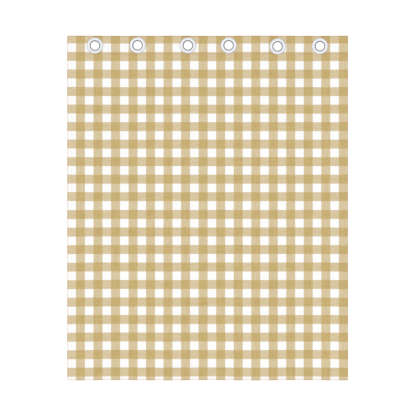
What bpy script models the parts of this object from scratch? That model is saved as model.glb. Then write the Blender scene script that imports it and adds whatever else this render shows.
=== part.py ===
"""A gingham curtain with six plastic eyelets, hanging nearly flat.

The curtain hangs in the XZ plane with its front towards -Y. The origin is the middle of its top edge.
Lengths are in metres. "Drop" is the distance below the top edge.
"""

import math

import bmesh
import bpy
from mathutils import Matrix, Vector

# Driving sizes of the cloth
WIDTH = 1.100
DROP = 1.350
HEADING_HEIGHT = 0.075
SIDE_HEM = 0.020
BOTTOM_HEM = 0.050
ONE_LAYER = 0.0012
TWO_LAYERS = 0.0024
HEM_STEP = 0.0010
GAP = 0.0003

# Driving sizes of an eyelet, whose heights are measured forwards from the front of the cloth
EYELET_SIDES = 32
BORE_RADIUS = 0.0175
BARREL_RADIUS = 0.0193
RING_RADIUS = 0.03175
CREST_RADIUS = 0.0240
CREST_HALF_WIDTH = 0.0020
CREST_HEIGHT = 0.0060
THROAT_RUN = 0.0028
THROAT_HEIGHT = 0.0015
RIM_HEIGHT = 0.0024
RIM_ROUNDING = 0.0006
BACK_THICKNESS = 0.0026
BACK_RADIUS = 0.03115
BACK_COLLAR = 0.0050
HOLE_RADIUS = BARREL_RADIUS + GAP

# Mesh steps
PANEL_STEP_X = 0.024
PANEL_STEP_Z = 0.075
HEADING_STEP_X = 0.020
PATCH_HALF_WIDTH = 0.036
ROWS_PER_SIDE = EYELET_SIDES // 4

# One row for each eyelet, from left to right. The cloth is flat round each one, stands forward (-) or
# back (+) of the middle plane there, and is turned a little about the vertical.
EYELETS = (
    # x, drop, stand, turn in degrees
    (-0.4415, 0.0389, -0.0020, 3.0),
    (-0.2743, 0.0375, 0.0025, -2.0),
    (-0.0775, 0.0383, -0.0015, 2.5),
    (0.0824, 0.0379, 0.0010, -3.0),
    (0.2738, 0.0422, -0.0025, 2.0),
    (0.4402, 0.0408, 0.0020, -2.5),
)

# The heading's two ends, in the same terms
LEFT_END = (-WIDTH / 2, 0.0, -0.0040, -1.5)
RIGHT_END = (WIDTH / 2, 0.0, -0.0015, -1.0)

# The heading's wave is mostly gone this far down
HEADING_WAVE_REACH = 0.700
HEADING_WAVE_LEFT = 0.25

# One row for each soft fold of the panel, which grows from its start down to the bottom hem. It stands
# forward (-) or back (+), and leans sideways on the way down.
FOLDS = (
    # x at the hem, half width, depth at the hem, lean, drop where it starts
    (-0.500, 0.095, -0.0060, 0.020, 0.30),
    (-0.345, 0.120, 0.0075, -0.025, 0.12),
    (-0.165, 0.110, -0.0055, 0.015, 0.45),
    (0.010, 0.130, 0.0065, 0.030, 0.20),
    (0.185, 0.105, -0.0070, -0.020, 0.35),
    (0.350, 0.125, 0.0060, 0.010, 0.15),
    (0.515, 0.090, -0.0065, -0.015, 0.50),
)


def smooth(t):
    """Rises smoothly from 0 to 1 as t goes from 0 to 1."""
    t = min(max(t, 0.0), 1.0)
    return t * t * (3.0 - 2.0 * t)


def heading_wave(x):
    """How far the heading's front stands back from the middle plane at x."""
    stations = (LEFT_END, *EYELETS, RIGHT_END)
    for station in EYELETS:
        centre, _, stand, turn = station
        if abs(x - centre) <= PATCH_HALF_WIDTH:
            return stand + (x - centre) * math.tan(math.radians(turn))
    for left, right in zip(stations, stations[1:]):
        if x <= right[0]:
            return wave_between(left, right, x)
    return wave_between(stations[-2], stations[-1], x)


def wave_between(left, right, x):
    """A smooth curve from the flat cloth at one station to the flat cloth at the next."""
    slope_a = math.tan(math.radians(left[3]))
    slope_b = math.tan(math.radians(right[3]))
    reach_a = 0.0 if left is LEFT_END else PATCH_HALF_WIDTH
    reach_b = 0.0 if right is RIGHT_END else PATCH_HALF_WIDTH
    start = left[0] + reach_a
    end = right[0] - reach_b
    y_a = left[2] + reach_a * slope_a
    y_b = right[2] - reach_b * slope_b
    span = end - start
    t = min(max((x - start) / span, 0.0), 1.0)
    return (
        (2 * t**3 - 3 * t**2 + 1) * y_a
        + (t**3 - 2 * t**2 + t) * span * slope_a
        + (3 * t**2 - 2 * t**3) * y_b
        + (t**3 - t**2) * span * slope_b
    )


def hang(x, drop):
    """How far the cloth's front stands back from the middle plane."""
    below = max(drop - HEADING_HEIGHT, 0.0)
    kept = 1.0 - (1.0 - HEADING_WAVE_LEFT) * smooth(below / HEADING_WAVE_REACH)
    y = heading_wave(x) * kept
    for at_hem, half_width, depth, lean, start in FOLDS:
        centre = at_hem - lean * (DROP - drop) / DROP
        across = abs(x - centre) / half_width
        if across < 1.0:
            grown = smooth((drop - start) / (DROP - start))
            y += depth * grown * 0.5 * (1.0 + math.cos(math.pi * across))
    return y


def behind(x, drop, thickness):
    """The point of the cloth's back that lies straight behind its front at x."""
    reach = 0.001
    slope = (hang(x + reach, drop) - hang(x - reach, drop)) / (2.0 * reach)
    normal = Vector((-slope, 1.0, 0.0)).normalized()
    return Vector((x, hang(x, drop), -drop)) + normal * thickness


def spaced(start, end, step):
    """Evenly spaced numbers from start to end, no more than step apart."""
    count = max(1, math.ceil(abs(end - start) / step - 1e-6))
    return [start + (end - start) * i / count for i in range(count + 1)]


def new_material(name, colour, roughness):
    material = bpy.data.materials.new(name)
    material.use_nodes = True
    shader = material.node_tree.nodes["Principled BSDF"]
    shader.inputs["Base Color"].default_value = (*colour, 1.0)
    shader.inputs["Roughness"].default_value = roughness
    shader.inputs["Metallic"].default_value = 0.0
    return material


def add_object(name, mesh, material):
    thing = bpy.data.objects.new(name, mesh)
    mesh.materials.append(material)
    bpy.context.scene.collection.objects.link(thing)
    return thing


def thick_sheet(name, fronts, backs, faces, material):
    """A closed sheet from its front points, its back points and its front faces, with walls at every edge."""
    count = len(fronts)
    edges = {(face[i], face[(i + 1) % len(face)]) for face in faces for i in range(len(face))}
    rim = [edge for edge in edges if (edge[1], edge[0]) not in edges]
    back_faces = [tuple(count + i for i in reversed(face)) for face in faces]
    walls = [(b, a, count + a, count + b) for a, b in sorted(rim)]
    mesh = bpy.data.meshes.new(name)
    mesh.from_pydata([*fronts, *backs], [], [*faces, *back_faces, *walls])
    mesh.validate()
    mesh.shade_smooth()
    mesh.set_sharp_from_angle(angle=math.radians(30))
    return add_object(name, mesh, material)


def make_panel(material):
    """The cloth below the heading, twice as thick behind at its side hems and its bottom hem."""
    half = WIDTH / 2
    inner = half - SIDE_HEM
    top = HEADING_HEIGHT + GAP
    hem_top = DROP - BOTTOM_HEM
    single = inner - HEM_STEP
    columns = [-half, -inner, *spaced(-single, single, PANEL_STEP_X), inner, half]
    drops = [*spaced(top, hem_top - HEM_STEP, PANEL_STEP_Z), hem_top, DROP]
    fronts = []
    backs = []
    for drop in drops:
        for x in columns:
            hemmed = abs(x) > inner - HEM_STEP / 2 or drop > hem_top - HEM_STEP / 2
            fronts.append(Vector((x, hang(x, drop), -drop)))
            backs.append(behind(x, drop, TWO_LAYERS if hemmed else ONE_LAYER))
    wide = len(columns)
    faces = [
        (row * wide + i, (row + 1) * wide + i, (row + 1) * wide + i + 1, row * wide + i + 1)
        for row in range(len(drops) - 1)
        for i in range(wide - 1)
    ]
    return thick_sheet("panel", fronts, backs, faces, material)


class HeadingCloth:
    """Collects the heading's points, each on its front and straight behind, and its front faces."""

    def __init__(self):
        self.fronts = []
        self.backs = []
        self.faces = []
        self.known = {}

    def point(self, x, y, drop, normal):
        key = (round(x, 6), round(drop, 6))
        if key not in self.known:
            self.known[key] = len(self.fronts)
            front = Vector((x, y, -drop))
            self.fronts.append(front)
            self.backs.append(front + normal * TWO_LAYERS)
        return self.known[key]

    def column(self, x):
        """The points down the heading at x, from the bottom up."""
        normal = (behind(x, 0.0, 1.0) - Vector((x, hang(x, 0.0), 0.0))).normalized()
        drops = [HEADING_HEIGHT * (1.0 - i / ROWS_PER_SIDE) for i in range(ROWS_PER_SIDE + 1)]
        return [self.point(x, hang(x, 0.0), drop, normal) for drop in drops]

    def strip(self, start, end):
        """Cloth between two columns, in steps."""
        columns = [self.column(x) for x in spaced(start, end, HEADING_STEP_X)]
        for left, right in zip(columns, columns[1:]):
            for row in range(ROWS_PER_SIDE):
                self.faces.append((left[row], right[row], right[row + 1], left[row + 1]))

    def patch(self, eyelet):
        """Flat cloth round an eyelet's hole: a ring of corners on the hole, joined to the patch's outline."""
        centre, drop, stand, turn = eyelet
        angle = math.radians(turn)
        normal = Vector((-math.sin(angle), math.cos(angle), 0.0))
        hole = []
        for k in range(EYELET_SIDES):
            around = 2.0 * math.pi * (k + 0.5) / EYELET_SIDES
            sideways = HOLE_RADIUS * math.cos(around)
            x = centre + sideways * math.cos(angle)
            y = stand + sideways * math.sin(angle)
            hole.append(self.point(x, y, drop - HOLE_RADIUS * math.sin(around), normal))
        step = 2 * PATCH_HALF_WIDTH / ROWS_PER_SIDE
        across = spaced(centre - PATCH_HALF_WIDTH, centre + PATCH_HALF_WIDTH, step)
        right = self.column(across[-1])
        top = [self.point(x, hang(x, 0.0), 0.0, normal) for x in across[-2:0:-1]]
        left = self.column(across[0])
        bottom = [self.point(x, hang(x, 0.0), HEADING_HEIGHT, normal) for x in across[1:-1]]
        outline = [*right, *top, *reversed(left), *bottom]
        middle_right = ROWS_PER_SIDE // 2
        outline = outline[middle_right:] + outline[:middle_right]
        for k in range(EYELET_SIDES):
            after = (k + 1) % EYELET_SIDES
            self.faces.append((hole[k], outline[k], outline[after]))
            self.faces.append((hole[k], outline[after], hole[after]))


def make_heading(material):
    """The doubled strip along the top, with a round hole for each eyelet."""
    cloth = HeadingCloth()
    start = -WIDTH / 2
    for eyelet in EYELETS:
        cloth.strip(start, eyelet[0] - PATCH_HALF_WIDTH)
        cloth.patch(eyelet)
        start = eyelet[0] + PATCH_HALF_WIDTH
    cloth.strip(start, WIDTH / 2)
    return thick_sheet("heading", cloth.fronts, cloth.backs, cloth.faces, material)


def front_ring_profile():
    """Radius and height round the front ring's section: bore, throat, crest, rim, underside and barrel."""
    barrel_end = -(TWO_LAYERS + GAP + BACK_THICKNESS)
    return (
        (BORE_RADIUS, barrel_end),
        (BORE_RADIUS, THROAT_HEIGHT),
        (BORE_RADIUS + THROAT_RUN, CREST_HEIGHT - RIM_ROUNDING),
        (CREST_RADIUS - CREST_HALF_WIDTH, CREST_HEIGHT),
        (CREST_RADIUS + CREST_HALF_WIDTH, CREST_HEIGHT),
        (RING_RADIUS - RIM_HEIGHT, CREST_HEIGHT - 0.45 * RIM_HEIGHT),
        (RING_RADIUS - RIM_ROUNDING, CREST_HEIGHT - 1.4 * RIM_HEIGHT),
        (RING_RADIUS, GAP + RIM_ROUNDING),
        (RING_RADIUS - RIM_ROUNDING, GAP),
        (BARREL_RADIUS, GAP),
        (BARREL_RADIUS, barrel_end),
    )


def back_ring_profile():
    """Radius and height round the back ring's section."""
    seat = -(TWO_LAYERS + GAP)
    back = seat - BACK_THICKNESS
    return (
        (HOLE_RADIUS, seat),
        (HOLE_RADIUS, back),
        (HOLE_RADIUS + BACK_COLLAR, back),
        (BACK_RADIUS - RIM_HEIGHT, back + RIM_ROUNDING),
        (BACK_RADIUS, seat - 1.5 * RIM_ROUNDING),
        (BACK_RADIUS - RIM_ROUNDING, seat),
    )


def ring_mesh(name, profile):
    """A profile of radius and height turned about the Y axis, with height running towards -Y."""
    half_step = math.pi / EYELET_SIDES
    start = Matrix.Rotation(half_step, 4, "Y")
    bm = bmesh.new()
    corners = [bm.verts.new(start @ Vector((radius, -height, 0.0))) for radius, height in profile]
    edges = [bm.edges.new((a, b)) for a, b in zip(corners, corners[1:] + corners[:1])]
    bmesh.ops.spin(
        bm,
        geom=corners + edges,
        cent=(0.0, 0.0, 0.0),
        axis=(0.0, 1.0, 0.0),
        angle=2.0 * math.pi,
        steps=EYELET_SIDES,
        use_merge=True,
    )
    bmesh.ops.remove_doubles(bm, verts=bm.verts, dist=1e-6)
    bmesh.ops.recalc_face_normals(bm, faces=bm.faces)
    mesh = bpy.data.meshes.new(name)
    bm.to_mesh(mesh)
    bm.free()
    mesh.shade_smooth()
    mesh.set_sharp_from_angle(angle=math.radians(50))
    return mesh


def make_eyelets(material):
    """A front ring and a back ring at each row of the table, turned with the cloth."""
    meshes = {
        "eyelet_front": ring_mesh("eyelet_front", front_ring_profile()),
        "eyelet_back": ring_mesh("eyelet_back", back_ring_profile()),
    }
    for mesh in meshes.values():
        mesh.materials.append(material)
    for number, (centre, drop, stand, turn) in enumerate(EYELETS, 1):
        for kind, mesh in meshes.items():
            ring = bpy.data.objects.new(f"{kind}_{number}", mesh)
            ring.location = (centre, stand, -drop)
            ring.rotation_euler = (0.0, 0.0, math.radians(turn))
            bpy.context.scene.collection.objects.link(ring)


def main():
    for thing in list(bpy.data.objects):
        bpy.data.objects.remove(thing)
    cloth = new_material("gingham_cloth", (0.72, 0.61, 0.42), 0.85)
    plastic = new_material("white_plastic", (0.90, 0.90, 0.92), 0.30)
    make_panel(cloth)
    make_heading(cloth)
    make_eyelets(plastic)


main()
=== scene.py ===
"""Dresses the gingham curtain: hemmed cloth, stitching, moulded eyelets, light, floor and camera.

Lengths are in metres. The curtain hangs in the XZ plane with its front towards -Y, and the origin is the
middle of its top edge. "Drop" is the distance below the top edge, and "depth" the distance behind the
cloth's front.
"""

import math

import bpy
import numpy as np
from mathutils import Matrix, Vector


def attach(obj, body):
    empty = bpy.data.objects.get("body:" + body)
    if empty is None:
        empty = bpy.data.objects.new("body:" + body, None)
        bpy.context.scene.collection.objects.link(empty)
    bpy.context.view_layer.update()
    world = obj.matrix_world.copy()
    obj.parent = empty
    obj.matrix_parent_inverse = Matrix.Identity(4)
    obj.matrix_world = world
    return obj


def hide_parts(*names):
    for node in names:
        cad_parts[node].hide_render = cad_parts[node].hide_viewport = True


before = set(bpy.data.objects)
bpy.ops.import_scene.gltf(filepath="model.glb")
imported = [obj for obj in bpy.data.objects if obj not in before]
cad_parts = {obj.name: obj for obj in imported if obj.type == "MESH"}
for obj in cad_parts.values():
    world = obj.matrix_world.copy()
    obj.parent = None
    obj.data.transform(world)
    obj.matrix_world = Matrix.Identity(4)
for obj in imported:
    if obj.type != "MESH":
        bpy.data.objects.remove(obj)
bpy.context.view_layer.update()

# The finished cloth, as in the solids
WIDTH = 1.100
DROP = 1.350
HEADING_HEIGHT = 0.075
BOTTOM_HEM = 0.050
SIDE_HEM = 0.020
HEADING_THICKNESS = 0.0024
PATCH_HALF_WIDTH = 0.036

# The cloth itself, and what is turned under a second time inside each hem
CLOTH = 0.00030
SIDE_TURN = 0.018
HEADING_TURN = 0.015
BOTTOM_TURN = 0.040

# How far behind the face the hems' back layers lie. The corners hold nine layers, so they are thicker.
SIDE_LOFT = 0.0009
HEADING_LOFT = HEADING_THICKNESS - CLOTH
BOTTOM_LOFT = 0.0015
CORNER_LOFT = 0.0036
CORNER_INNER_LOFT = 0.00135
CORNER_START = 0.500
CORNER_END = WIDTH / 2 - SIDE_HEM

# Steps of the cloth's mesh, closer together where it rolls over at the sides, and at the top and bottom
STEP_ACROSS = 0.0076
STEP_DOWN = 0.0081
SIDE_ROLL_STEP = 0.00024
SIDE_ROLL_REACH = 0.00096
ROLL_STEP = 0.0005
ROLL_REACH = 0.0030
INNER_ROLL_REACH = 0.0036

# One row for each eyelet: the cloth is flat round it, stands forward (-) or back (+), and is turned a little
EYELETS = (
    # x, drop, stand, turn in degrees
    (-0.4415, 0.0389, -0.0020, 3.0),
    (-0.2743, 0.0375, 0.0025, -2.0),
    (-0.0775, 0.0383, -0.0015, 2.5),
    (0.0824, 0.0379, 0.0010, -3.0),
    (0.2738, 0.0422, -0.0025, 2.0),
    (0.4402, 0.0408, 0.0020, -2.5),
)
LEFT_END = (-WIDTH / 2, 0.0, -0.0040, -1.5)
RIGHT_END = (WIDTH / 2, 0.0, -0.0015, -1.0)
HEADING_WAVE_REACH = 0.700
HEADING_WAVE_LEFT = 0.25

# One row for each soft fold, which grows from its start down to the bottom hem
FOLDS = (
    # x at the hem, half width, depth at the hem, lean, drop where it starts
    (-0.500, 0.095, -0.0060, 0.020, 0.30),
    (-0.345, 0.120, 0.0075, -0.025, 0.12),
    (-0.165, 0.110, -0.0055, 0.015, 0.45),
    (0.010, 0.130, 0.0065, 0.030, 0.20),
    (0.185, 0.105, -0.0070, -0.020, 0.35),
    (0.350, 0.125, 0.0060, 0.010, 0.15),
    (0.515, 0.090, -0.0065, -0.015, 0.50),
)

# Eyelets, whose heights are measured forwards from the front of the cloth
RING_SEGMENTS = 144
BORE_RADIUS = 0.0175
LIP_RADIUS = 0.0164
LIP_THICKNESS = 0.0012
BARREL_RADIUS = 0.0193
RING_RADIUS = 0.03175
CREST_RADIUS = 0.0240
CREST_HEIGHT = 0.0060
THROAT_HEIGHT = 0.0015
DOME_POWER = 2.4
DOME_STEPS = 14
EDGE_ROUND = 0.0005
EDGE_BEVEL = 0.3 * EDGE_ROUND
SEAT_WIDTH = 0.0040
BACK_RADIUS = 0.03115
BACK_HEIGHT = -0.0053
BACK_INNER_RADIUS = BARREL_RADIUS + 0.0003
BACK_COLLAR = 0.0050
COLLAR_STEP = 0.0005
SNAP_TABS = 12
SNAP_SLOT_SHARE = 0.22
SNAP_SLOT_DEPTH = 0.0009

# The holes in the cloth, and how far out from one the mesh is drawn in to it
HOLE_RADIUS = 0.0210
HOLE_MARGIN = 0.0015

# Stitching, and one row for each station along a stitch
STITCH_LENGTH = 0.0028
STITCH_PITCH = 0.0034
THREAD = 0.00028
THREAD_SIDES = 5
STITCH_STATIONS = (
    # share of the stitch, rise and thickness as shares of the thread
    (0.00, -0.70, 0.6),
    (0.16, 0.35, 1.0),
    (0.50, 0.55, 1.1),
    (0.84, 0.35, 1.0),
    (1.00, -0.70, 0.6),
)
HEADING_SEAM = 0.0713
BOTTOM_SEAM = 0.0480
SIDE_SEAM = 0.0180

# The check: one stripe's mean width, how much wider a coloured stripe is at each side, how much of the first
# coloured stripe lies past the top edge, and how far in from the left edge the first white stripe starts
STRIPE = 0.03431
DYED_MARGIN = 0.0004
HIDDEN_TOP = 0.0035
WHITE_START = 0.0005
STRIPE_BLUR = 0.0002
YARN_PITCH = 0.0009
YARN_DRIFT = 0.0010
YARN_DRIFT_SCALE = 60.0
YARN_CONTRAST = 0.35

# Colours, all linear
CLOTH_TONES = (
    # share of dyed yarn, colour
    (0.00, (0.818, 0.822, 0.824)),
    (0.45, (0.560, 0.451, 0.264)),
    (0.90, (0.487, 0.361, 0.145)),
    (1.00, (0.406, 0.294, 0.112)),
)
# The plastic is white; the dark throat and bore and the greyer rim are painted shade
RING_TONES_WITH_SHADE = (
    # share of the way out from the lip to the rim, colour
    (0.24, (0.146, 0.137, 0.153)),
    (0.32, (0.668, 0.686, 0.716)),
    (0.70, (0.668, 0.686, 0.716)),
    (0.87, (0.575, 0.580, 0.610)),
)
THREAD_TONES = (
    # noise, colour
    (0.3, (0.62, 0.50, 0.40)),
    (0.7, (0.74, 0.64, 0.52)),
)
FLOOR_TONES = (
    # noise, colour
    (0.2, (0.90, 0.90, 0.89)),
    (0.8, (0.94, 0.94, 0.94)),
)

# Tints that colours are multiplied by. The worn, slub and plastic tints are the things' own uneven tone; the
# weave, edge and seam tints are painted shade.
WORN_TINT = (0.985, 0.985, 0.980)
SLUB_TINT = (0.935, 0.935, 0.930)
WEAVE_SHADE_TINT = (0.955, 0.950, 0.940)
EDGE_SHADE_TINT = (0.84, 0.68, 0.69)
SEAM_SHADE_TINT = (0.985, 0.980, 0.970)
HEADING_SEAM_SHADE_TINT = (0.99, 0.905, 0.95)
PLASTIC_TINT = (0.965, 0.965, 0.975)

# How far the painted shade reaches from the finished edges and from the seams
HEAD_SHADE_REACH = 0.0075
FOOT_SHADE_REACH = 0.0105
SIDE_SHADE_REACH = 0.0065
SIDE_SHADE_SHARE = 0.9
SEAM_SHADE_REACH = 0.0012
HEADING_SEAM_SHADE_REACH = 0.0050

# Scales of the cloth's noises, in turns a metre
WORN_SCALE = 7.0
SLUB_SCALE = 280.0
STREAK_SCALES = (260.0, 11.0)
EDGE_SHADE_SCALE = 45.0
CREASE_SCALE = 9.0
SOFT_FOLD_SCALES = (55.0, 18.0, 1.0)
RUFFLE_SCALE = 95.0

# Depths of the cloth's relief, and how far it reaches from a seam
CREASE_DEPTH = 0.0010
RUFFLE_DEPTH = 0.0011
RUFFLE_REACH = (0.014, 0.001)
SEAM_DEPTH = 0.0003
SEAM_REACH = 0.0022
WEAVE_DEPTH = 0.00003

# Light and floor
ROOM_LIGHT = 1.08
FRONT_LIGHT = 0.50
FRONT_LIGHT_SPREAD = 20.0
FRONT_LIGHT_WAY = (0.35, 1.0, -0.10)
FLOOR_GLOW = 0.2
FLOOR_REACH = 3.0
FLOOR_Z = -1.60

# The camera looks square on at the curtain's front
CAMERA_X = 0.0014
CAMERA_Z = -0.6750
CAMERA_DISTANCE = 9.056
CAMERA_LENS = 200.0
SENSOR_WIDTH = 36.0


def smooth(t):
    """Rises smoothly from 0 to 1 as t goes from 0 to 1."""
    t = np.clip(t, 0.0, 1.0)
    return t * t * (3.0 - 2.0 * t)


def wave_between(left, right, x):
    """A smooth curve from the flat cloth at one station to the flat cloth at the next."""
    slope_a = math.tan(math.radians(left[3]))
    slope_b = math.tan(math.radians(right[3]))
    reach_a = 0.0 if left is LEFT_END else PATCH_HALF_WIDTH
    reach_b = 0.0 if right is RIGHT_END else PATCH_HALF_WIDTH
    start = left[0] + reach_a
    end = right[0] - reach_b
    y_a = left[2] + reach_a * slope_a
    y_b = right[2] - reach_b * slope_b
    span = end - start
    t = np.clip((x - start) / span, 0.0, 1.0)
    return (
        (2 * t**3 - 3 * t**2 + 1) * y_a
        + (t**3 - 2 * t**2 + t) * span * slope_a
        + (3 * t**2 - 2 * t**3) * y_b
        + (t**3 - t**2) * span * slope_b
    )


def heading_wave(x):
    """How far the heading's front stands back from the middle plane at each x."""
    stations = (LEFT_END, *EYELETS, RIGHT_END)
    y = wave_between(stations[-2], stations[-1], x)
    for left, right in reversed(list(zip(stations, stations[1:]))):
        y = np.where(x <= right[0], wave_between(left, right, x), y)
    for centre, _, stand, turn in EYELETS:
        flat = stand + (x - centre) * math.tan(math.radians(turn))
        y = np.where(np.abs(x - centre) <= PATCH_HALF_WIDTH, flat, y)
    return y


def hang(x, drop):
    """How far the cloth's front stands back from the middle plane."""
    below = np.maximum(drop - HEADING_HEIGHT, 0.0)
    kept = 1.0 - (1.0 - HEADING_WAVE_LEFT) * smooth(below / HEADING_WAVE_REACH)
    y = heading_wave(x) * kept
    for at_hem, half_width, depth, lean, start in FOLDS:
        centre = at_hem - lean * (DROP - drop) / DROP
        across = np.minimum(np.abs(x - centre) / half_width, 1.0)
        grown = smooth((drop - start) / (DROP - start))
        y = y + depth * grown * 0.5 * (1.0 + np.cos(np.pi * across))
    return y


def hung(x, drop, depth):
    """The points that lie straight behind the cloth's front, at these depths."""
    reach = 0.001
    slope = (hang(x + reach, drop) - hang(x - reach, drop)) / (2.0 * reach)
    length = np.sqrt(1.0 + slope**2)
    return np.stack([x - slope / length * depth, hang(x, drop) + depth / length, -drop], axis=-1)


def turned_under(past, hem, loft, inner_loft):
    """Where cloth lies near an edge that is turned under twice: distance in, depth, and angle turned.

    past is the distance along the cloth past the finished edge, below 0 on the face. The cloth rolls round
    the edge into the hem's back layer, rolls round again at the hem's inner side, and comes back inside.
    """
    roll = loft / 2
    inner_roll = (loft - inner_loft) / 2
    back_start = np.pi * roll / 2
    back_end = back_start + hem - roll - inner_roll
    inside_start = back_end + np.pi * inner_roll
    first = past / roll + np.pi / 2
    second = np.pi + (past - back_end) / inner_roll
    part = [past < -back_start, past < back_start, past < back_end, past < inside_start]
    inset = np.select(
        part,
        [
            roll - past - back_start,
            roll * (1.0 - np.sin(first)),
            roll + past - back_start,
            hem - inner_roll - inner_roll * np.sin(second),
        ],
        hem - inner_roll - (past - inside_start),
    )
    depth = np.select(
        part,
        [
            0.0 * past,
            roll * (1.0 - np.cos(first)),
            loft + 0.0 * past,
            loft - inner_roll * (1.0 + np.cos(second)),
        ],
        inner_loft + 0.0 * past,
    )
    angle = np.select(part, [0.0 * past, first, np.pi + 0.0 * past, second], 2.0 * np.pi)
    return inset, depth, angle


def lie(a, b, lift):
    """Where points of the cut lie once the cloth is hemmed and hung.

    a and b are distances across and down the cut from the middle of the finished top edge. lift is the
    distance out from the middle of the cloth's thickness, on the side that becomes its face.
    """
    inset, depth, angle = turned_under(np.abs(a) - WIDTH / 2, SIDE_HEM, SIDE_LOFT, SIDE_LOFT / 2)
    x = np.sign(a) * (WIDTH / 2 - inset + lift * np.sin(angle))
    stack = depth - lift * np.cos(angle)
    corner = smooth((np.abs(x) - CORNER_START) / (CORNER_END - CORNER_START))
    upper = b < DROP / 2
    middle_loft = np.where(upper, HEADING_LOFT, BOTTOM_LOFT)
    loft = middle_loft + (CORNER_LOFT - middle_loft) * corner
    inner_loft = middle_loft / 2 + (CORNER_INNER_LOFT - middle_loft / 2) * corner
    past = np.where(upper, -b, b - DROP)
    hem = np.where(upper, HEADING_HEIGHT, BOTTOM_HEM)
    inset, depth, angle = turned_under(past, hem, loft, inner_loft)
    inset = inset + stack * np.sin(angle)
    depth = depth + stack * np.cos(angle)
    return hung(x, np.where(upper, inset, DROP - inset), depth + CLOTH / 2)


def spaced(start, end, step):
    """Evenly spaced numbers from start up to but not including end."""
    count = max(1, math.ceil(abs(end - start) / step - 1e-6))
    return [start + (end - start) * i / count for i in range(count)]


def lines_past_edge(hem, turn, step, roll_step, roll_reach, inner_reach):
    """Mesh lines from the finished edge to the cut edge, closer together where the cloth rolls over."""
    return [
        *spaced(roll_step, roll_reach, roll_step),
        *spaced(roll_reach, hem - roll_step, step),
        *spaced(hem - roll_step, hem + inner_reach, roll_step),
        *spaced(hem + inner_reach, hem + turn, step),
        hem + turn,
    ]


def cloth_lines():
    """The mesh's lines across and down the cut, as distances from the middle of the finished top edge."""
    half = WIDTH / 2
    reach = SIDE_ROLL_REACH
    side = lines_past_edge(SIDE_HEM, SIDE_TURN, STEP_ACROSS, SIDE_ROLL_STEP, reach, reach)
    on_face = spaced(-reach, 0.0, SIDE_ROLL_STEP)
    left = [-half - s for s in reversed(side)] + [-half] + [-half - s for s in reversed(on_face)]
    right = [-a for a in reversed(left)]
    across = [*left, *spaced(left[-1], right[0], STEP_ACROSS)[1:], *right]
    head = lines_past_edge(HEADING_HEIGHT, HEADING_TURN, STEP_DOWN, ROLL_STEP, ROLL_REACH, INNER_ROLL_REACH)
    foot = lines_past_edge(BOTTOM_HEM, BOTTOM_TURN, STEP_DOWN, ROLL_STEP, ROLL_REACH, INNER_ROLL_REACH)
    down = [
        *(-s for s in reversed(head)),
        *spaced(0.0, ROLL_REACH, ROLL_STEP),
        *spaced(ROLL_REACH, DROP - ROLL_REACH, STEP_DOWN),
        *spaced(DROP - ROLL_REACH, DROP, ROLL_STEP),
        DROP,
        *(DROP + s for s in foot),
    ]
    return np.array(across), np.array(down)


def eyelet_holes():
    """The middle of each hole in the cut, in the face layer and in the layer behind it."""
    slack = (np.pi / 2 - 1.0) * HEADING_LOFT / 2
    for centre, drop, _, _ in EYELETS:
        yield centre, drop + slack
        yield centre, -drop - slack


def add_mesh(name, points, faces, material, rides="root"):
    mesh = bpy.data.meshes.new(name)
    mesh.from_pydata(points, [], faces)
    mesh.shade_smooth()
    mesh.materials.append(material)
    thing = bpy.data.objects.new(name, mesh)
    bpy.context.scene.collection.objects.link(thing)
    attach(thing, rides)
    return thing


def add_uv(mesh, name, places):
    """A UV map from one place for each point of the mesh."""
    layer = mesh.uv_layers.new(name=name)
    corners = np.empty(len(mesh.loops), dtype=np.int32)
    mesh.loops.foreach_get("vertex_index", corners)
    layer.data.foreach_set("uv", np.asarray(places, dtype=np.float32)[corners].ravel())


def make_cloth(material):
    """One thin closed sheet: face, reverse, and the cut edges between them, with a hole at each eyelet."""
    across, down = cloth_lines()
    a, b = (grid.ravel() for grid in np.meshgrid(across, down))
    wide = len(across)
    row, column = (grid.ravel() for grid in np.mgrid[0 : len(down) - 1, 0 : wide - 1])
    corner = row * wide + column
    faces = np.stack([corner, corner + wide, corner + wide + 1, corner + 1], axis=1)
    for centre_a, centre_b in eyelet_holes():
        middle_a = a[faces].mean(axis=1) - centre_a
        middle_b = b[faces].mean(axis=1) - centre_b
        inside = np.hypot(middle_a, middle_b) < HOLE_RADIUS + HOLE_MARGIN
        rim = np.intersect1d(faces[inside], faces[~inside])
        reach = np.hypot(a[rim] - centre_a, b[rim] - centre_b)
        a[rim] = centre_a + (a[rim] - centre_a) * HOLE_RADIUS / reach
        b[rim] = centre_b + (b[rim] - centre_b) * HOLE_RADIUS / reach
        faces = faces[~inside]
    used = np.unique(faces)
    number = np.zeros(len(a), dtype=int)
    number[used] = np.arange(len(used))
    faces = number[faces]
    a = a[used]
    b = b[used]
    count = len(a)
    edges = np.stack([faces, np.roll(faces, -1, axis=1)], axis=2).reshape(-1, 2)
    known = set(map(tuple, edges.tolist()))
    border = [(i, j) for i, j in known if (j, i) not in known]
    walls = [(j, i, count + i, count + j) for i, j in sorted(border)]
    reverse = (faces[:, ::-1] + count).tolist()
    points = np.concatenate([lie(a, b, CLOTH / 2), lie(a, b, -CLOTH / 2)])
    cloth = add_mesh("curtain_cloth", points.tolist(), faces.tolist() + reverse + walls, material)
    places = np.stack([a + WIDTH / 2, b], axis=1)
    add_uv(cloth.data, "cut", np.concatenate([places, places]))
    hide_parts("panel", "heading")
    return cloth


def superellipse(radius_start, radius_end, low, high, steps):
    """Points of a quarter of a dome, from its top at radius_start to its foot at radius_end."""
    points = []
    for i in range(steps + 1):
        angle = math.pi / 2 * i / steps
        outward = math.sin(angle) ** (2 / DOME_POWER)
        upward = math.cos(angle) ** (2 / DOME_POWER)
        points.append((radius_start + (radius_end - radius_start) * outward, low + (high - low) * upward))
    return points


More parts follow.
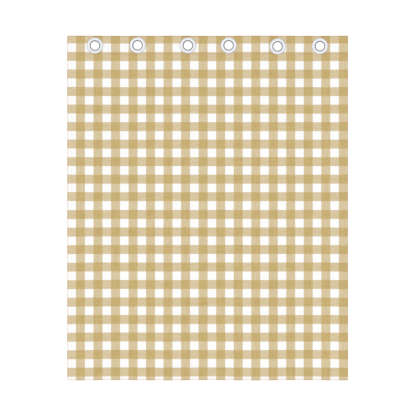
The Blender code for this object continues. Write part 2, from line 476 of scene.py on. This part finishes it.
def front_ring_section():
    """Radius and height round the front ring: up the bore, over the lip and the dome, back to the bore."""
    lip_back = THROAT_HEIGHT - LIP_THICKNESS
    throat = superellipse(CREST_RADIUS, LIP_RADIUS, THROAT_HEIGHT, CREST_HEIGHT, DOME_STEPS)
    dome = superellipse(CREST_RADIUS, RING_RADIUS, EDGE_ROUND, CREST_HEIGHT, DOME_STEPS)
    return [
        (BORE_RADIUS + EDGE_ROUND, BACK_HEIGHT),
        (BORE_RADIUS, BACK_HEIGHT + EDGE_ROUND),
        (BORE_RADIUS, lip_back - EDGE_ROUND),
        (BORE_RADIUS - EDGE_ROUND, lip_back),
        (LIP_RADIUS + EDGE_ROUND, lip_back),
        (LIP_RADIUS, lip_back + EDGE_ROUND),
        *reversed(throat),
        *dome[1:],
        (RING_RADIUS - EDGE_BEVEL, EDGE_BEVEL),
        (RING_RADIUS - EDGE_ROUND, 0.0),
        (BARREL_RADIUS + SEAT_WIDTH, 0.0),
        (BARREL_RADIUS, 0.0),
        (BARREL_RADIUS, BACK_HEIGHT + EDGE_ROUND),
        (BARREL_RADIUS - EDGE_ROUND, BACK_HEIGHT),
    ]


def back_ring_section():
    """Radius and height round the back ring: slotted collar, step down, sloping flange and seat."""
    seat = -HEADING_THICKNESS
    collar = BACK_INNER_RADIUS + BACK_COLLAR
    flange_start = collar + EDGE_ROUND
    flange_height = BACK_HEIGHT + COLLAR_STEP
    return [
        (BACK_INNER_RADIUS, seat),
        (BACK_INNER_RADIUS, BACK_HEIGHT + EDGE_ROUND),
        (BACK_INNER_RADIUS + EDGE_ROUND, BACK_HEIGHT),
        (collar - EDGE_ROUND, BACK_HEIGHT),
        (collar, BACK_HEIGHT + EDGE_BEVEL),
        *superellipse(flange_start, BACK_RADIUS, seat - EDGE_ROUND, flange_height, DOME_STEPS),
        (BACK_RADIUS - EDGE_BEVEL, seat - EDGE_BEVEL),
        (BACK_RADIUS - EDGE_ROUND, seat),
    ]


def in_slot(angle):
    """Whether a snap slot lies at this angle round the back ring."""
    return (angle * SNAP_TABS / (2 * math.pi)) % 1.0 < SNAP_SLOT_SHARE


def ring_points(section, slotted):
    """A section turned about the Y axis. The slots cut into the back end of the ring's inner wall."""
    points = []
    for k in range(RING_SEGMENTS):
        angle = 2 * math.pi * k / RING_SEGMENTS
        for radius, height in section:
            inner = radius < BACK_INNER_RADIUS + 1.1 * EDGE_ROUND
            back_end = height < -HEADING_THICKNESS - EDGE_ROUND
            if slotted and inner and back_end and in_slot(angle):
                radius += SNAP_SLOT_DEPTH
            points.append((radius * math.cos(angle), -height, radius * math.sin(angle)))
    return points


def ring_faces(corners):
    """Faces between the sections of a turned ring, each section a closed loop of corners."""
    faces = []
    for k in range(RING_SEGMENTS):
        here = k * corners
        after = (k + 1) % RING_SEGMENTS * corners
        for i in range(corners):
            j = (i + 1) % corners
            faces.append((here + i, here + j, after + j, after + i))
    return faces


def make_eyelets(plastic):
    """A front ring and a back ring in place of each pair of solids, turned with the cloth."""
    rings = []
    for kind, section in (("front", front_ring_section()), ("back", back_ring_section())):
        points = ring_points(section, kind == "back")
        faces = ring_faces(len(section))
        for number, (centre, drop, stand, turn) in enumerate(EYELETS, 1):
            ring = add_mesh(f"ring_{kind}_{number}", points, faces, plastic)
            ring.data.set_sharp_from_angle(angle=math.radians(50))
            ring.location = (centre, stand, -drop)
            ring.rotation_euler = (0.0, 0.0, math.radians(turn))
            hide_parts(f"eyelet_{kind}_{number}")
            rings.append(ring)
    return rings


def seam_rows():
    """Straight rows of stitches in the cut, each from one place to another."""
    half = WIDTH / 2
    for way in (-1, 1):
        face = way * (half - SIDE_SEAM)
        behind = way * (half + SIDE_SEAM)
        yield (face, -HEADING_HEIGHT), (face, DROP + BOTTOM_HEM)
        yield (behind, HEADING_HEIGHT), (behind, DROP - BOTTOM_HEM)
        yield (-half, way * HEADING_SEAM), (half, way * HEADING_SEAM)
        yield (-half, DROP + way * BOTTOM_SEAM), (half, DROP + way * BOTTOM_SEAM)


def stitch_places(start, end):
    """Places along one row, by stitch, station along the stitch and corner of the thread."""
    start = np.array(start)
    along = np.array(end) - start
    length = np.hypot(*along)
    along = along / length
    aside = np.array([-along[1], along[0]])
    first = np.arange(0.5 * STITCH_PITCH, length - STITCH_PITCH, STITCH_PITCH)
    share, rise, thick = np.array(STITCH_STATIONS).T
    radius = (thick * THREAD / 2)[:, None]
    around = (np.arange(THREAD_SIDES) * 2 * np.pi / THREAD_SIDES)[None, :]
    run = (first[:, None] + share[None, :] * STITCH_LENGTH)[:, :, None]
    sideways = (radius * np.cos(around))[None]
    upward = ((rise * THREAD)[:, None] + radius * np.sin(around))[None]
    a = start[0] + along[0] * run + aside[0] * sideways
    b = start[1] + along[1] * run + aside[1] * sideways
    lift = np.broadcast_to(CLOTH / 2 + upward, a.shape)
    return a, b, lift


def make_stitches(thread):
    """Every seam's lockstitches, joined in one piece that lies on the cloth's face side."""
    rows = [stitch_places(start, end) for start, end in seam_rows()]
    a, b, lift = (np.concatenate([row[i] for row in rows]) for i in range(3))
    stitches, stations, corners = a.shape
    points = lie(a.ravel(), b.ravel(), lift.ravel())
    number = np.arange(stitches * stations * corners).reshape(stitches, stations, corners)
    here = number[:, :-1]
    ahead = number[:, 1:]
    sides = np.stack([here, np.roll(here, -1, axis=2), np.roll(ahead, -1, axis=2), ahead], axis=3)
    ends = np.concatenate([number[:, 0, ::-1], number[:, -1]])
    faces = sides.reshape(-1, 4).tolist() + ends.tolist()
    stitching = add_mesh("stitching", points.tolist(), faces, thread)
    return stitching


class Surface:
    """A material whose nodes are fed by numbers or by other nodes' outputs."""

    def __init__(self, name):
        self.material = bpy.data.materials.new(name)
        self.material.use_nodes = True
        self.tree = self.material.node_tree
        self.shader = self.tree.nodes["Principled BSDF"]

    def feed(self, socket, value):
        if isinstance(value, bpy.types.NodeSocket):
            self.tree.links.new(value, socket)
        else:
            socket.default_value = value

    def node(self, kind, *values, **settings):
        """A new node, with its first inputs fed and its settings made."""
        node = self.tree.nodes.new(kind)
        for setting, value in settings.items():
            setattr(node, setting, value)
        for socket, value in zip(node.inputs, values):
            self.feed(socket, value)
        return node

    def math(self, operation, *values):
        return self.node("ShaderNodeMath", *values, operation=operation).outputs[0]

    def vector(self, operation, *values):
        return self.node("ShaderNodeVectorMath", *values, operation=operation)

    def least(self, *values):
        """The least of several values."""
        lowest = values[0]
        for value in values[1:]:
            lowest = self.math("MINIMUM", lowest, value)
        return lowest

    def apart(self, value, place):
        """How far a value is from a place."""
        return self.math("ABSOLUTE", self.math("SUBTRACT", value, place))

    def fade(self, value, start, end, low=0.0, high=1.0):
        """Goes smoothly from low to high as the value goes from start to end."""
        node = self.node("ShaderNodeMapRange", value, start, end, low, high, interpolation_type="SMOOTHSTEP")
        return node.outputs[0]

    def noise(self, place, scale, detail=2.0, rough=0.5):
        """Even noise from 0 to 1, or stretched where the scale is three numbers."""
        if isinstance(scale, tuple):
            place = self.vector("MULTIPLY", place, scale).outputs[0]
            scale = 1.0
        node = self.node("ShaderNodeTexNoise")
        self.feed(node.inputs["Vector"], place)
        self.feed(node.inputs["Scale"], scale)
        self.feed(node.inputs["Detail"], detail)
        self.feed(node.inputs["Roughness"], rough)
        return node.outputs["Fac"]

    def ramp(self, value, *stops):
        """A colour for each place in stops, and smooth mixes between."""
        node = self.node("ShaderNodeValToRGB", value)
        elements = node.color_ramp.elements
        while len(elements) < len(stops):
            elements.new(1.0)
        for element, (place, colour) in zip(elements, stops):
            element.position = place
            element.color = (*colour, 1.0)
        return node.outputs[0]

    def tint(self, amount, colour, by):
        """A colour multiplied by another, as far as the amount says."""
        node = self.tree.nodes.new("ShaderNodeMix")
        node.data_type = "RGBA"
        node.blend_type = "MULTIPLY"
        self.feed(node.inputs[0], amount)
        self.feed(node.inputs[6], colour)
        self.feed(node.inputs[7], (*by, 1.0) if isinstance(by, tuple) else by)
        return node.outputs[2]

    def bump(self, height, distance, below=None):
        """A normal from a height of 1 that stands for a distance in metres, over another normal."""
        node = self.tree.nodes.new("ShaderNodeBump")
        self.feed(node.inputs["Height"], height)
        self.feed(node.inputs["Distance"], distance)
        if below is not None:
            self.feed(node.inputs["Normal"], below)
        return node.outputs[0]

    def finish(self, inputs):
        """Feeds the shader's own inputs by name, and gives the material."""
        for name, value in inputs.items():
            self.feed(self.shader.inputs[name], value)
        return self.material


def gingham():
    """Yarn-dyed plain weave: white, one colour across white, and that colour across itself."""
    cloth = Surface("gingham_cotton")
    cut = cloth.node("ShaderNodeUVMap", uv_map="cut").outputs[0]
    u, v = cloth.node("ShaderNodeSeparateXYZ", cut).outputs[:2]

    weave = yarns(cloth, cut)
    worn = cloth.noise(cut, WORN_SCALE, 3.0, 0.6)
    slub = cloth.noise(cut, SLUB_SCALE, 2.0, 0.7)
    side = cloth.least(cloth.apart(u, 0.0), cloth.apart(u, WIDTH))
    head = cloth.apart(v, 0.0)
    foot = cloth.apart(v, DROP)
    heading_seam = cloth.apart(head, HEADING_SEAM)
    seam = cloth.least(cloth.apart(side, SIDE_SEAM), heading_seam, cloth.apart(foot, BOTTOM_SEAM))

    colour = check_colour(cloth, cut, u, v, weave)
    colour = cloth.tint(cloth.fade(worn, 0.35, 0.75), colour, WORN_TINT)
    colour = cloth.tint(cloth.fade(slub, 0.35, 0.70), colour, SLUB_TINT)
    # Painted shade over the weave, darkest where a weft yarn lies on top
    colour = cloth.tint(cloth.fade(weave, 0.5, -0.9), colour, WEAVE_SHADE_TINT)
    # Painted shade: darker and redder along the finished edges, where the cloth rolls over
    colour = cloth.tint(edge_shade_share(cloth, cut, side, head, foot), colour, EDGE_SHADE_TINT)
    # Painted shade along the seams' puckers, pinker and wider along the heading's seam
    colour = cloth.tint(cloth.fade(seam, SEAM_SHADE_REACH, 0.0), colour, SEAM_SHADE_TINT)
    colour = cloth.tint(cloth.fade(heading_seam, HEADING_SEAM_SHADE_REACH, 0.0), colour, HEADING_SEAM_SHADE_TINT)
    return cloth.finish(
        {
            "Base Color": colour,
            "Roughness": cloth.fade(worn, 0.2, 0.8, 0.80, 0.92),
            "Normal": cloth_relief(cloth, cut, seam, weave),
            "Specular IOR Level": 0.20,
            "Sheen Weight": 0.15,
            "Sheen Roughness": 0.45,
        }
    )


def check_colour(cloth, cut, u, v, weave):
    """Stripes of dyed yarn down and across, where the yarn on top shows more of its own colour."""
    across, along = STREAK_SCALES
    warp_shade = cloth.noise(cut, (across, along, 1.0), 5.0, 0.8)
    weft_shade = cloth.noise(cut, (along, across, 1.0), 5.0, 0.8)
    columns = dyed_stripes(cloth, cloth.math("ADD", u, -WHITE_START - STRIPE / 2), warp_shade)
    rows = dyed_stripes(cloth, cloth.math("ADD", v, HIDDEN_TOP + STRIPE / 2), weft_shade)
    on_top = cloth.math("MULTIPLY", cloth.math("SUBTRACT", columns, rows), weave)
    tone = cloth.math("ADD", columns, rows)
    tone = cloth.math("MULTIPLY", cloth.math("MULTIPLY_ADD", on_top, YARN_CONTRAST, tone), 0.5)
    return cloth.ramp(tone, *CLOTH_TONES)


def dyed_stripes(cloth, place, shade):
    """Stripes one width apart along place, from 0 to about 0.9, where each dyed yarn takes its own shade."""
    wave = cloth.math("PINGPONG", place, STRIPE)
    start = STRIPE / 2 - DYED_MARGIN
    dyed = cloth.fade(wave, start - STRIPE_BLUR, start + STRIPE_BLUR)
    return cloth.math("MULTIPLY", dyed, cloth.fade(shade, 0.28, 0.72, 0.72, 1.08))


def yarns(cloth, cut):
    """The plain weave, near 1 where a warp yarn lies on top and -1 where a weft yarn does."""
    drift = cloth.node("ShaderNodeTexNoise", cut)
    drift.inputs["Scale"].default_value = YARN_DRIFT_SCALE
    drifted = cloth.vector("MULTIPLY_ADD", drift.outputs["Color"], (YARN_DRIFT,) * 3, cut).outputs[0]
    turns = cloth.vector("MULTIPLY", drifted, (2 * math.pi / YARN_PITCH,) * 3).outputs[0]
    waves = cloth.vector("SINE", turns).outputs[0]
    across, down = cloth.node("ShaderNodeSeparateXYZ", waves).outputs[:2]
    return cloth.math("MULTIPLY", across, down)


def edge_shade_share(cloth, cut, side, head, foot):
    """How strongly painted shade darkens and reddens the cloth near its finished edges, where it rolls over
    into the hems, unevenly along them.
    """
    head_share = cloth.fade(head, HEAD_SHADE_REACH, 0.0)
    foot_share = cloth.fade(foot, FOOT_SHADE_REACH, 0.0)
    side_share = cloth.fade(side, SIDE_SHADE_REACH, 0.0, 0.0, SIDE_SHADE_SHARE)
    edge = cloth.math("MAXIMUM", cloth.math("MAXIMUM", head_share, foot_share), side_share)
    patchy = cloth.fade(cloth.noise(cut, EDGE_SHADE_SCALE, 2.0), 0.2, 0.7, 0.7, 1.0)
    return cloth.math("MULTIPLY", edge, patchy)


def cloth_relief(cloth, cut, seam, weave):
    """The cloth's normal, from soft creases, ruffles beside the seams, the seams drawn in, and the weave."""
    soft_folds = cloth.noise(cut, SOFT_FOLD_SCALES, 2.0)
    creased = cloth.math("ADD", cloth.noise(cut, CREASE_SCALE, 3.0, 0.55), soft_folds)
    near_seam = cloth.fade(seam, *RUFFLE_REACH)
    ruffled = cloth.math("MULTIPLY", cloth.noise(cut, RUFFLE_SCALE, 2.0, 0.6), near_seam)
    normal = cloth.bump(creased, CREASE_DEPTH)
    normal = cloth.bump(ruffled, RUFFLE_DEPTH, normal)
    normal = cloth.bump(cloth.fade(seam, 0.0, SEAM_REACH), SEAM_DEPTH, normal)
    return cloth.bump(weave, WEAVE_DEPTH, normal)


def plastic():
    """Moulded white plastic, with painted shade: greyer towards the dome's rim, and dark over the throat and
    bore.
    """
    ring = Surface("moulded_plastic")
    place = ring.node("ShaderNodeTexCoord").outputs["Object"]
    flat = ring.vector("MULTIPLY", place, (1.0, 0.0, 1.0)).outputs[0]
    radius = ring.vector("LENGTH", flat).outputs["Value"]
    share = ring.node("ShaderNodeMapRange", radius, LIP_RADIUS, RING_RADIUS).outputs[0]
    cloudy = ring.noise(place, 140.0, 3.0)
    # The ramp paints shade: dark over the throat and bore, greyer towards the rim
    colour = ring.tint(ring.fade(cloudy, 0.35, 0.8), ring.ramp(share, *RING_TONES_WITH_SHADE), PLASTIC_TINT)
    scratched = ring.noise(place, (900.0, 60.0, 900.0), 2.0)
    return ring.finish(
        {
            "Base Color": colour,
            "Roughness": ring.fade(scratched, 0.3, 0.8, 0.22, 0.34),
            "Normal": ring.bump(cloudy, 0.00003),
            "Coat Weight": 0.15,
            "Coat Roughness": 0.12,
        }
    )


def thread():
    """Cotton sewing thread, a little fuzzy."""
    sewn = Surface("sewing_thread")
    place = sewn.node("ShaderNodeTexCoord").outputs["Object"]
    twist = sewn.noise(place, 2600.0, 1.0)
    return sewn.finish(
        {
            "Base Color": sewn.ramp(sewn.noise(place, 700.0), *THREAD_TONES),
            "Roughness": sewn.fade(twist, 0.3, 0.7, 0.6, 0.8),
            "Normal": sewn.bump(twist, 0.00004),
            "Sheen Weight": 0.2,
        }
    )


def pale_floor():
    floor = Surface("pale_floor")
    place = floor.node("ShaderNodeTexCoord").outputs["Object"]
    return floor.finish(
        {
            "Base Color": floor.ramp(floor.noise(place, 1.5, 3.0), *FLOOR_TONES),
            "Roughness": 0.8,
            "Specular IOR Level": 0.1,
            "Emission Color": (1.0, 1.0, 1.0, 1.0),
            "Emission Strength": FLOOR_GLOW,
        }
    )


def make_floor(material):
    """A plain floor below the hem, which isn't part of the curtain."""
    corners = [(x * FLOOR_REACH, y * FLOOR_REACH, FLOOR_Z) for x, y in ((-1, -1), (1, -1), (1, 1), (-1, 1))]
    mesh = bpy.data.meshes.new("floor")
    mesh.from_pydata(corners, [], [(0, 1, 2, 3)])
    mesh.materials.append(material)
    floor = bpy.data.objects.new("floor", mesh)
    bpy.context.scene.collection.objects.link(floor)


def make_light():
    """Even white surroundings, and a broad soft light in front."""
    scene = bpy.context.scene
    scene.world = bpy.data.worlds.new("white_room")
    scene.world.use_nodes = True
    background = scene.world.node_tree.nodes["Background"]
    background.inputs["Color"].default_value = (1.0, 1.0, 1.0, 1.0)
    background.inputs["Strength"].default_value = ROOM_LIGHT
    lamp = bpy.data.lights.new("front_light", "SUN")
    lamp.energy = FRONT_LIGHT
    lamp.angle = math.radians(FRONT_LIGHT_SPREAD)
    light = bpy.data.objects.new("front_light", lamp)
    light.rotation_euler = Vector(FRONT_LIGHT_WAY).to_track_quat("-Z", "Y").to_euler()
    scene.collection.objects.link(light)


def make_camera():
    lens = bpy.data.cameras.new("camera")
    lens.lens = CAMERA_LENS
    lens.sensor_width = SENSOR_WIDTH
    camera = bpy.data.objects.new("camera", lens)
    camera.location = (CAMERA_X, -CAMERA_DISTANCE, CAMERA_Z)
    camera.rotation_euler = (math.pi / 2, 0.0, 0.0)
    scene = bpy.context.scene
    scene.collection.objects.link(camera)
    scene.camera = camera
    scene.view_settings.view_transform = "Standard"
    scene.view_settings.look = "None"


def main():
    make_camera()
    make_light()
    make_floor(pale_floor())
    cloth = make_cloth(gingham())
    rings = make_eyelets(plastic())
    stitching = make_stitches(thread())


main()
